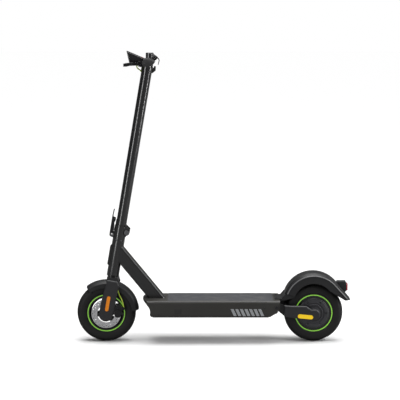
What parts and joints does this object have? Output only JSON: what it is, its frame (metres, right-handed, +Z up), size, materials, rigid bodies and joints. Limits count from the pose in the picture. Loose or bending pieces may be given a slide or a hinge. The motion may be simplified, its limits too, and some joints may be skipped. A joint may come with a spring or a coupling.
{
  "type": "electric kick scooter",
  "caption": "Folding electric kick scooter with hub motor, front disc brake, deck battery, rear swing arm and stem that folds back over the deck.",
  "frame": {"origin": "on the floor, at the middle of the overall box", "axes": "+Z up, +X to the rear, +Y to the rider's right"},
  "size_m": [1.18, 0.48, 1.2526],
  "materials": {
    "stem_gloss": "glossy black paint",
    "frame_satin": "satin black paint",
    "blade_cover": "satin moulded plastic",
    "deck_paint": "warm dark grey powder paint",
    "mat_rubber": "moulded grip rubber",
    "stripe_reflective": "hatched reflective film",
    "pack_shell": "shrink sleeve",
    "port_plastic": "matt black",
    "flap_rubber": "soft flap",
    "screw_black": "black oxide",
    "fender_plastic": "satin moulded plastic",
    "lens_red": "red lens",
    "arm_steel": "black paint",
    "reflector_amber": "prismatic yellow",
    "reflector_orange": "prismatic orange",
    "axle_steel": "zinc",
    "stator_copper": "laminations and copper",
    "motor_paint": "satin dark grey",
    "rim_paint": "satin black",
    "stripe_green": "lime",
    "tyre_rubber": "black",
    "rotor_steel": "ground steel",
    "caliper_black": "black anodised",
    "cable_green": "yellow-green sleeve",
    "grip_rubber": "soft moulded",
    "control_plastic": "gloss black",
    "bell_black": "gloss black",
    "lens_clear": "clear lens",
    "button_plastic": "satin"
  },
  "bodies": {
    "frame": {"deck_frame": "deck_paint", "deck_bottom_cover": "deck_paint", "deck_mat": "mat_rubber", "down_tube": "frame_satin", "head_tube": "stem_gloss", "head_plate": "frame_satin", "side_stripes": "stripe_reflective", "battery_and_controller": "pack_shell", "charge_port": "port_plastic", "deck_screws": "screw_black", "rear_fender": "fender_plastic", "tail_light_housing": "fender_plastic", "tail_light_lens": "lens_red", "swingarm_pivot_bolt": "screw_black", "headset_bearings": "port_plastic"},
    "swingarm": {"swingarm_yoke": "arm_steel", "arm_covers": "blade_cover", "rear_reflectors": "reflector_amber", "rear_axle": "axle_steel", "motor_stator": "stator_copper"},
    "rear_wheel": {"motor_shell": "motor_paint", "motor_cover": "motor_paint", "motor_cover_screws": "screw_black", "rear_rim_stripes": "stripe_green", "rear_tyre": "tyre_rubber"},
    "fork": {"fork_crown": "frame_satin", "fork_legs": "frame_satin", "fork_covers": "blade_cover", "front_reflectors": "reflector_orange", "front_fender": "fender_plastic", "front_axle": "axle_steel", "brake_caliper": "caliper_black", "brake_cable_lower": "cable_green", "folding_base": "stem_gloss", "fold_pins": "screw_black"},
    "front_wheel": {"front_rim": "rim_paint", "front_rim_stripes": "stripe_green", "front_tyre": "tyre_rubber", "brake_rotor": "rotor_steel"},
    "stem": {"stem_tube": "stem_gloss", "stem_foot": "stem_gloss", "handlebar_clamp": "stem_gloss", "handlebar": "frame_satin", "grips": "grip_rubber", "brake_lever_clamp": "caliper_black", "brake_cable_upper": "cable_green", "throttle_housing": "control_plastic", "bell_body": "bell_black", "headlight_housing": "control_plastic", "headlight_lens": "lens_clear", "display_panel": "control_plastic", "fold_hook": "caliper_black"},
    "latch": {"fold_lever": "caliper_black"},
    "lever": {"brake_lever": "caliper_black"},
    "caliper_lever": {"caliper_arm": "caliper_black"},
    "throttle": {"throttle_paddle": "control_plastic"},
    "striker": {"bell_striker": "bell_black"},
    "button": {"power_button": "button_plastic"},
    "kickstand": {"kickstand_leg": "caliper_black"},
    "cap": {"charge_cap": "flap_rubber"}
  },
  "joints": [
    {"name": "steering", "type": "hinge", "parent": "frame", "child": "fork", "pos_m": [-0.463, 0, 0.127], "axis": [0.1702, 0, 0.9854], "range_deg": [-60, 60]},
    {"name": "front_wheel_spin", "type": "hinge", "parent": "fork", "child": "front_wheel", "pos_m": [-0.463, 0, 0.127], "axis": [0, 1, 0], "continuous": true},
    {"name": "stem_fold", "type": "hinge", "parent": "fork", "child": "stem", "pos_m": [-0.37239, 0, 0.47769], "axis": [0, 1, 0], "range_deg": [0, 93]},
    {"name": "latch_lever", "type": "hinge", "parent": "fork", "child": "latch", "pos_m": [-0.43731, 0, 0.46963], "axis": [0, -1, 0], "range_deg": [0, 100]},
    {"name": "swingarm_pivot", "type": "hinge", "parent": "frame", "child": "swingarm", "pos_m": [0.271, 0, 0.163], "axis": [0, -1, 0], "range_deg": [0, 7], "stiffness_Nm_per_rad": 400, "springref_deg": -6.88},
    {"name": "rear_wheel_spin", "type": "hinge", "parent": "swingarm", "child": "rear_wheel", "pos_m": [0.433, 0, 0.127], "axis": [0, 1, 0], "continuous": true},
    {"name": "brake_lever_pivot", "type": "hinge", "parent": "stem", "child": "lever", "pos_m": [-0.30292, -0.11, 1.20316], "axis": [0, 0, 1], "range_deg": [0, 20], "stiffness_Nm_per_rad": 1, "springref_deg": -17.19},
    {"name": "caliper_arm_pivot", "type": "hinge", "parent": "fork", "child": "caliper_lever", "pos_m": [-0.40998, -0.054, 0.14017], "axis": [0, -1, 0], "range_deg": [0, 20]},
    {"name": "throttle_pivot", "type": "hinge", "parent": "stem", "child": "throttle", "pos_m": [-0.27092, 0.1236, 1.21316], "axis": [0, 1, 0], "range_deg": [0, 35], "stiffness_Nm_per_rad": 0.3, "springref_deg": -17.19},
    {"name": "bell_striker_pivot", "type": "hinge", "parent": "stem", "child": "striker", "pos_m": [-0.24792, -0.084, 1.22816], "axis": [0, 0, 1], "range_deg": [0, 25], "stiffness_Nm_per_rad": 0.02, "springref_deg": -11.46},
    {"name": "power_button_press", "type": "slide", "parent": "stem", "child": "button", "axis": [-0.3896, 0, -0.921], "range_m": [0, 0.001], "stiffness_N_per_m": 400, "springref_m": -0.001},
    {"name": "kickstand_pivot", "type": "hinge", "parent": "frame", "child": "kickstand", "pos_m": [-0.06, 0.06, 0.11], "axis": [0, 0.9659, 0.2588], "range_deg": [0, 100]},
    {"name": "charge_cap_hinge", "type": "hinge", "parent": "frame", "child": "cap", "pos_m": [-0.152, -0.0863, 0.15805], "axis": [-1, 0, 0], "range_deg": [0, 110]}
  ],
  "couplings": [
    {"joint": "caliper_arm_pivot", "follows": "brake_lever_pivot", "ratio": 1}
  ]
}
